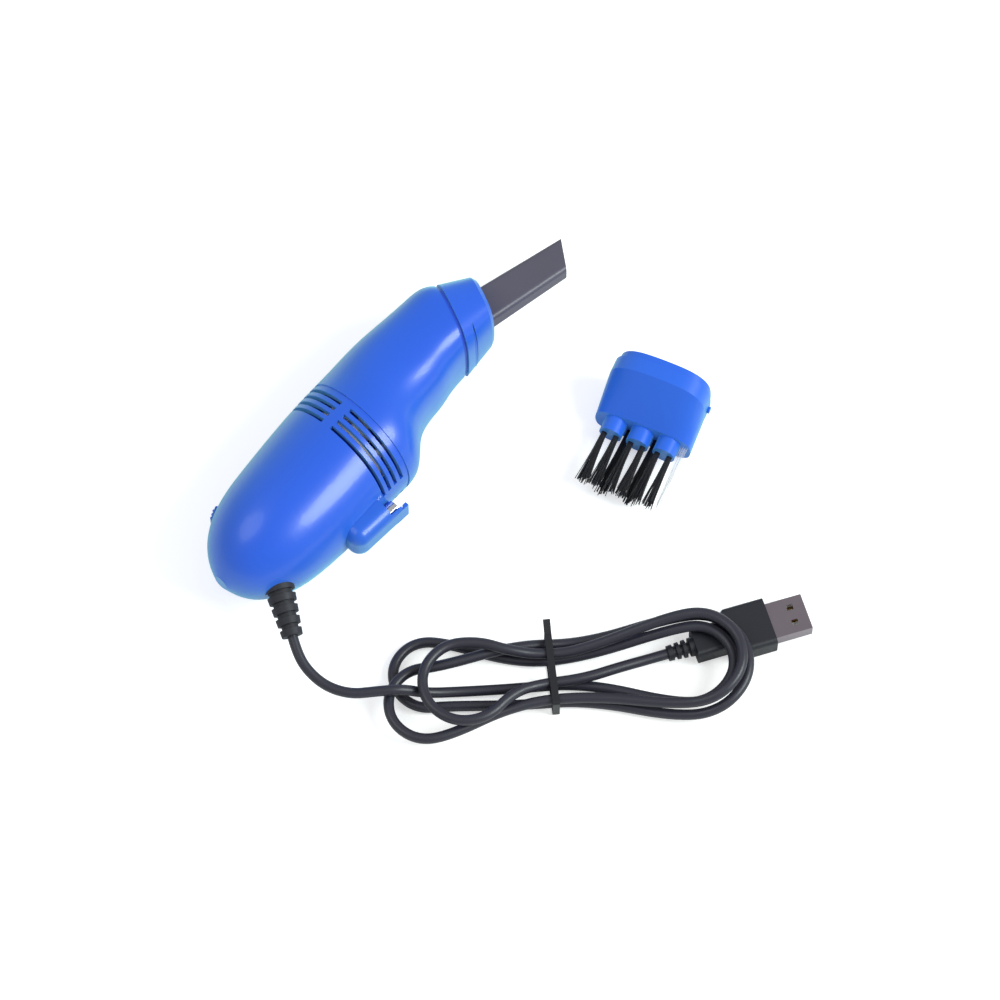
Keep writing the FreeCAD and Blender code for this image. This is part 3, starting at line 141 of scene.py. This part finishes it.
# %% Plastics and rubber
blue = finish_of("blue moulding", srgb(24, 86, 216), 0.34, grain=0.05, mottle=0.03, coat=0.25,
                 sheen=0.8)
pod_blue = finish_of("pale blue moulding", srgb(28, 94, 212), 0.36, grain=0.05, mottle=0.03, coat=0.2,
                     sheen=0.8)
brush_blue = finish_of("brush blue moulding", srgb(30, 96, 220), 0.36, grain=0.06, mottle=0.03,
                       coat=0.2, sheen=0.8)
inner_blue = finish_of("inner blue moulding", srgb(30, 78, 205), 0.5, grain=0.05, mottle=0.02)
nozzle_grey = finish_of("grey nozzle", srgb(84, 81, 96), 0.38, grain=0.12, mottle=0.06)
boot_black = finish_of("boot rubber", srgb(30, 30, 40), 0.6, grain=0.3, grain_size=900, mottle=0.08)
jacket = finish_of("cord jacket", srgb(42, 41, 53), 0.4, grain=0.12, grain_size=700, mottle=0.08)
plug_black = finish_of("plug moulding", srgb(26, 27, 36), 0.45, grain=0.25, grain_size=1500,
                       mottle=0.06)
tie_black = finish_of("tie plastic", srgb(26, 26, 32), 0.35, grain=0.1, mottle=0.05)
black_plastic = finish_of("black plastic", srgb(30, 30, 34), 0.5, grain=0.1, mottle=0.04)
white_plastic = finish_of("white plastic", srgb(226, 226, 222), 0.45, grain=0.05, mottle=0.02,
                          subsurface=0.1)
cloth = finish_of("filter cloth", srgb(232, 232, 230), 0.9, grain=0.6, grain_size=2600, mottle=0.06)
bristle_black = finish_of("black bristles", srgb(26, 26, 32), 0.32, mottle=0.2)
bristle_pale = finish_of("pale bristles", srgb(206, 208, 214), 0.3, mottle=0.05)
print("plastics and rubber, from", blue.name, "to", bristle_pale.name)

# %% Metals and the small parts inside
steel = finish_of("zinc plated steel", srgb(178, 176, 178), 0.28, grain=0.04, mottle=0.04,
                  metallic=1.0)
plug_steel = finish_of("plug steel", srgb(150, 140, 148), 0.3, grain=0.06, grain_size=500,
                       mottle=0.06, metallic=1.0)
copper = finish_of("copper", srgb(206, 138, 94), 0.3, grain=0.05, mottle=0.06, metallic=1.0)
bronze = finish_of("sintered bronze", srgb(170, 134, 88), 0.5, grain=0.3, grain_size=3000, mottle=0.08,
                   metallic=1.0)
brass = finish_of("plated brass", srgb(220, 184, 104), 0.25, grain=0.03, mottle=0.03, metallic=1.0)
carbon = finish_of("carbon", srgb(36, 36, 38), 0.7, grain=0.3, grain_size=3000, mottle=0.1)
magnet = finish_of("ferrite", srgb(58, 58, 62), 0.6, grain=0.3, grain_size=2400, mottle=0.08)
board = finish_of("board", srgb(34, 96, 60), 0.4, grain=0.1, grain_size=1800, mottle=0.06)
bright = finish_of("bright plating", srgb(224, 226, 232), 0.12, mottle=0.02, metallic=1.0)
lamp_clear = finish_of("clear lamp", srgb(244, 246, 252), 0.08, mottle=0.01, coat=0.5, subsurface=0.4)
print("metals and small parts, from", steel.name, "to", lamp_clear.name)

# %% [markdown]
# ## Which piece gets which finish
# A real cleaner of this kind is made of few materials, so pieces of one material share one finish.

# %% Give each piece its finish
finishes = {
    "shell_right": blue, "shell_left": blue, "nozzle_cap": blue, "switch_knob": pod_blue,
    "lamp_housing": pod_blue, "motor_plate": inner_blue, "fan_shroud": inner_blue,
    "brush_head": brush_blue, "crevice_nozzle": nozzle_grey, "strain_relief": boot_black,
    "hank_tie": tie_black, "plug_grip": plug_black,
    "motor_end_cap": black_plastic, "switch_case": black_plastic, "filter_frame": white_plastic,
    "impeller": white_plastic, "plug_tongue": white_plastic, "filter_mesh": cloth, "motor_can": steel,
    "motor_armature": steel, "motor_shaft": steel, "shell_screws": steel, "motor_screws": steel,
    "plug_shell": plug_steel, "motor_terminals": copper, "motor_commutator": copper, "switch_pins": copper,
    "motor_bush_front": bronze, "motor_bush_rear": bronze, "plug_contacts": brass, "motor_carbons": carbon,
    "motor_magnets": magnet, "circuit_board": board, "lamp_reflector": bright, "lamp_led": lamp_clear,
}
for name, finish in finishes.items():
    piece = nodes[name]
    piece.data.materials.clear()
    piece.data.materials.append(finish)
print("CAD pieces with a finish:", len(finishes))

# %% [markdown]
# ## The cord's route
# A cord is one smooth line with a round section. A NURBS curve suits it: a few points pull the line
# without breaking it, as a thumb pulls a real cord. The first points leave the boot straight, the
# middle ones go round the tied loops, and the last ones run into the plug on the table.

# %% Points of the lead and of the tail
# Millimetres, along the table from the tip of the casing's tail, and up from the table.
TAIL = Vector((-79.0, 29.3, 0))
STRAIGHT = 6  # of cord that leaves the boot, or runs into the plug, without a bend
boot_end = Vector((3.867, -32.325, 16.145))
boot_way = Vector((-0.4851, -0.8403, -0.2419))
plug_start = Vector((83.5, -115.3, 4.0))
plug_way = Vector((0.8788, -0.4772, 0))
lead = [boot_end, boot_end + boot_way * STRAIGHT, Vector((-0.2, -43.6, 12.7)),
        Vector((0.8, -50.4, 10.9)), Vector((4.31, -56.93, 10.4))]
tail = [Vector((58.65, -103.1, 6.25)), Vector((69.6, -108.2, 5.2)), plug_start - plug_way * STRAIGHT,
        plug_start]
print("lead points", len(lead), "tail points", len(tail))

# %% [markdown]
# ## The tied loops
# The cord was folded over and over into a flat bundle and tied at its waist. Its far loops lie on the
# plug, so their ends stand higher than the tie. The near loops lie free on the table, and no two of
# them are alike: one fell to the left, one to the right, and the last one lies on top of both. A
# loop's bend is drawn by six points, two before, two across and two after it.

# %% Two helpers that lay points along the bundle
heading = math.radians(-39.9)
hank_middle = Vector((53.8, -94.4, 0))
ROUND = 0.414  # where a bend's points stand, as a share of its radius, so that it comes out round


def on_hank(x, y, z):
    """From the bundle's own line to the table."""
    return hank_middle + Vector((x * math.cos(heading) - y * math.sin(heading),
                                 x * math.sin(heading) + y * math.cos(heading), z))


def bend(tip, middle, half, side, z_in, z_tip, z_out):
    """Six points of one loop's end, entered at the side given and left at the other one.

    The tip is its far end, the middle its own line, half its half width, and the z values its
    heights on the way in, at the tip and on the way out.
    """
    way = 1 if tip > 0 else -1
    reach = ROUND * half
    shoulder = tip - way * half
    return [on_hank(shoulder - way * reach, middle + side * half, z_in),
            on_hank(shoulder + way * reach, middle + side * half, (z_in + 2 * z_tip) / 3),
            on_hank(tip, middle + side * reach, z_tip), on_hank(tip, middle - side * reach, z_tip),
            on_hank(shoulder + way * reach, middle - side * half, (z_out + 2 * z_tip) / 3),
            on_hank(shoulder - way * reach, middle - side * half, z_out)]


# %% [markdown]
# ## Round the loops, one after another
# The cord lies at three heights: on the table, on that first layer, and on top of both. The rows of
# single points are the straight runs through the waist, where the tie holds them side by side.

# %% Lay the whole route
LOW, MIDDLE, TOP = 2.25, 6.25, 10.5
ON_PLUG = 7.9  # how much higher the far ends lie, on the plug's grip
route = list(lead)
# From the boot, over the near loops and down to the table under the tie.
route += [on_hank(-55.0, -3.0, TOP), on_hank(-46.5, -3.0, TOP), on_hank(-39.0, -2.9, 5.3),
          on_hank(-27.0, -2.4, 2.6), on_hank(-12.0, -2.9, LOW), on_hank(10.0, -3.2, LOW)]
# The first layer: a far loop, a near loop and a wider far loop.
route += bend(55.6, -3.0, 11.7, -1, LOW + 1.8, LOW + ON_PLUG, LOW + ON_PLUG)
route += [on_hank(10.0, 5.3, LOW), on_hank(-10.0, 5.3, LOW)]
route += bend(-48.5, 4.5, 11.0, 1, LOW, LOW, LOW)
route += [on_hank(-12.0, -8.6, LOW), on_hank(10.0, -9.0, LOW)]
route += bend(60.2, -3.2, 15.6, -1, LOW + 1.6, LOW + ON_PLUG, LOW + ON_PLUG)
route += [on_hank(11.0, 9.75, LOW), on_hank(-10.0, 9.9, MIDDLE)]
# The second layer, on the first one: a near loop and a far loop.
route += bend(-50.9, -6.7, 11.8, 1, MIDDLE, MIDDLE, MIDDLE)
route += [on_hank(-12.0, -9.8, MIDDLE), on_hank(10.0, -9.3, MIDDLE)]
route += bend(58.2, -2.6, 13.9, -1, MIDDLE + 2.0, MIDDLE + ON_PLUG, MIDDLE + ON_PLUG)
route += [on_hank(10.0, 5.8, MIDDLE), on_hank(-3.0, 5.8, MIDDLE), on_hank(-12.5, 6.9, 9.4)]
# The last near loop lies on top of all, and the tail dives back through the tie to the plug.
route += bend(-40.0, -2.5, 13.0, 1, TOP, TOP, TOP)
route += [on_hank(-12.5, -7.2, 9.8), on_hank(-3.5, -4.0, 6.3)]
route += tail
route = [(p + TAIL) * MM for p in route]
print("points of the route", len(route))

# %% [markdown]
# ## The cord itself
# One curve stands for the lead, the loops and the tail. The round bevel makes it a tube, and the
# curve's end points touch the boot and the plug, so that no gap shows there.

# %% Make the cord
CORD_RADIUS = 1.65
cord_line = bpy.data.curves.new("cord", "CURVE")
cord_line.dimensions = "3D"
cord_line.bevel_depth = CORD_RADIUS * MM
cord_line.bevel_resolution = 6
cord_line.resolution_u = 10
cord_line.use_fill_caps = True
spline = cord_line.splines.new("NURBS")
spline.points.add(len(route) - 1)
for point, place in zip(spline.points, route):
    point.co = (*place, 1)
spline.order_u = 3
spline.use_endpoint_u = True
cord_line.materials.append(jacket)
cord = bpy.data.objects.new("cord", cord_line)
bpy.context.collection.objects.link(cord)
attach(cord, "body")
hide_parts("cord_lead", "cord_hank", "cord_tail")
print("cord of", len(spline.points), "points, from", [round(1000 * v, 1) for v in route[0]])

# %% [markdown]
# ## The bristles
# A tuft of bristles looks soft only when its single hairs show. Each hair is a short curve with a
# very thin round section: it leaves its stud straight, spreads a little, and bends by its own amount.
# The random numbers come from a fixed seed, so that every run gives the same brush.

# %% Two helpers that grow hairs on the brush
random.seed(7)
collar = Vector((149.0, -52.4, -0.5)) + TAIL
brush_turn = math.radians(20.5)
GOLDEN_TURN = 2.39996  # the angle between one hair and the next, which fills a round tuft evenly
ROOT = 0.8  # a tuft's radius where it leaves the stud
FLATTEST = 1.5  # the most that a tuft widens up and down
ALONG = (-0.12, 0.25, 0.65, 1.0)  # a hair's points as shares of its length; it starts inside the stud


def on_brush(x, y, z):
    """From the brush's own line, with its collar at zero, to the table."""
    return (collar + Vector((x * math.cos(brush_turn) - y * math.sin(brush_turn),
                             x * math.sin(brush_turn) + y * math.cos(brush_turn), z))) * MM


def grow(name, roots, hairs, radius, spread, finish, replaced):
    """One curve object that holds all the hairs of several tufts.

    Each root is the place along the brush, across it and above the table, and the hairs' length.
    """
    line = bpy.data.curves.new(name, "CURVE")
    line.dimensions = "3D"
    line.bevel_depth = radius * MM
    line.bevel_resolution = 1
    line.resolution_u = 3
    for start, y, z, length in roots:
        for i in range(hairs):
            turn = i * GOLDEN_TURN
            out = math.sqrt((i + 0.5) / hairs)
            dy, dz = out * math.cos(turn), out * math.sin(turn)
            reach = length * random.uniform(0.86, 1.0)
            lean = random.uniform(-0.5, 0.5)
            hair = line.splines.new("NURBS")
            hair.points.add(3)
            for point, share in zip(hair.points, ALONG):
                wide = ROOT + spread * max(share, 0) ** 1.4
                at = on_brush(start - reach * share, y + dy * wide + lean * share ** 2,
                              z + dz * min(wide, FLATTEST) + lean * share ** 2 / 2)
                point.co = (*at, 1)
            hair.order_u = 3
            hair.use_endpoint_u = True
    line.materials.append(finish)
    tufts = bpy.data.objects.new(name, line)
    bpy.context.collection.objects.link(tufts)
    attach(tufts, "brush")
    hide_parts(*replaced)
    print(name, "hairs:", len(line.splines))


# %% [markdown]
# ## Where the hairs stand
# Three studs carry two tufts each, side by side. Two longer tufts stand between the studs and lower,
# on the head's own face. A few pale hairs stand beside the last stud, as in the photo.

# %% Grow the tufts
FACE = -18.0  # the head's own face, where the studs begin
STUD = 5.0
STUD_STEP = 9
STUD_RADIUS = 3.7
TUFT_SIDE = 2.0  # from a stud's middle to its tufts
TOP_FACE = 13.0
RIM = 0.75
LOWER = 3.2  # how far the tufts between the studs stand below them
PALE_STEP = 0.65
HAIRS, BLACK_RADIUS, PALE_RADIUS = 42, 0.13, 0.07
stud_z = TOP_FACE - STUD_RADIUS - RIM
front = [(FACE - STUD, y + side * TUFT_SIDE, stud_z, 19.0) for y in (-STUD_STEP, 0, STUD_STEP)
         for side in (-1, 1)]
behind = [(FACE, side * STUD_STEP / 2, stud_z - LOWER, 24.0) for side in (-1, 1)]
grow("bristles_front", front, HAIRS, BLACK_RADIUS, 1.0, bristle_black, ["brush_tufts_front"])
grow("bristles_back", behind, HAIRS, BLACK_RADIUS, 1.0, bristle_black, ["brush_tufts_back"])
stray = [(FACE, -STUD_STEP - STUD_RADIUS - PALE_STEP * (i + 1), stud_z, 23.0) for i in range(3)]
grow("bristles_pale", stray, 3, PALE_RADIUS, 0.6, bristle_pale, ["brush_bristles_pale"])

# %% [markdown]
# ## Floor and light
# The cleaner lies on a white table in even light. The floor adds a little light of its own for the
# camera only, so that it looks white and still keeps the object's faint shadow.

# %% Make the floor
FLOOR_GLOW = 0.5
bpy.ops.mesh.primitive_plane_add(size=6, location=(0, 0, 0))
floor = bpy.context.object
floor.name = "floor"
white = bpy.data.materials.new("white table")
white.use_nodes = True
tree = white.node_tree
shader = tree.nodes["Principled BSDF"]
shader.inputs["Base Color"].default_value = (0.82, 0.82, 0.82, 1)
shader.inputs["Roughness"].default_value = 0.9
shader.inputs["Emission Color"].default_value = (1, 1, 1, 1)
ray = tree.nodes.new("ShaderNodeLightPath")
seen = tree.nodes.new("ShaderNodeMath")
seen.operation = "MULTIPLY"
seen.inputs[1].default_value = FLOOR_GLOW
tree.links.new(ray.outputs["Is Camera Ray"], seen.inputs[0])
tree.links.new(seen.outputs[0], shader.inputs["Emission Strength"])
floor.data.materials.append(white)
print("floor:", floor.name, [round(v, 2) for v in floor.dimensions])

# %% [markdown]
# ## The lamps
# The world gives most of the light, from all sides. One large lamp in front gives the casing its soft
# highlight and the shadow its direction, and a weak one behind keeps the far side readable. Both are
# a little cool, as daylight is.

# %% Light it
WORLD_LIGHT = 0.5
LAMP_COLOUR = (0.9, 1.0, 0.97)
# Each lamp's name, place in metres, width in metres and power in watts.
LAMPS = (("key lamp", (0.5, -0.95, 1.0), 0.8, 18), ("fill lamp", (-0.6, 0.5, 1.2), 0.9, 4))
world = bpy.data.worlds.new("studio")
world.use_nodes = True
background = world.node_tree.nodes["Background"]
background.inputs["Color"].default_value = (1, 1, 1, 1)
background.inputs["Strength"].default_value = WORLD_LIGHT
bpy.context.scene.world = world
for name, place, size, power in LAMPS:
    lamp = bpy.data.lights.new(name, "AREA")
    lamp.shape = "DISK"
    lamp.size = size
    lamp.energy = power
    lamp.color = LAMP_COLOUR
    holder = bpy.data.objects.new(name, lamp)
    holder.location = place
    holder.rotation_euler = (-Vector(place)).to_track_quat("-Z", "Y").to_euler()
    bpy.context.collection.objects.link(holder)
bpy.context.scene.view_settings.view_transform = "Standard"
print("lamps:", len(LAMPS))

# %% [markdown]
# ## The last update
# The last call brings the view layer up to date.

# %% Update the view layer
bpy.context.view_layer.update()
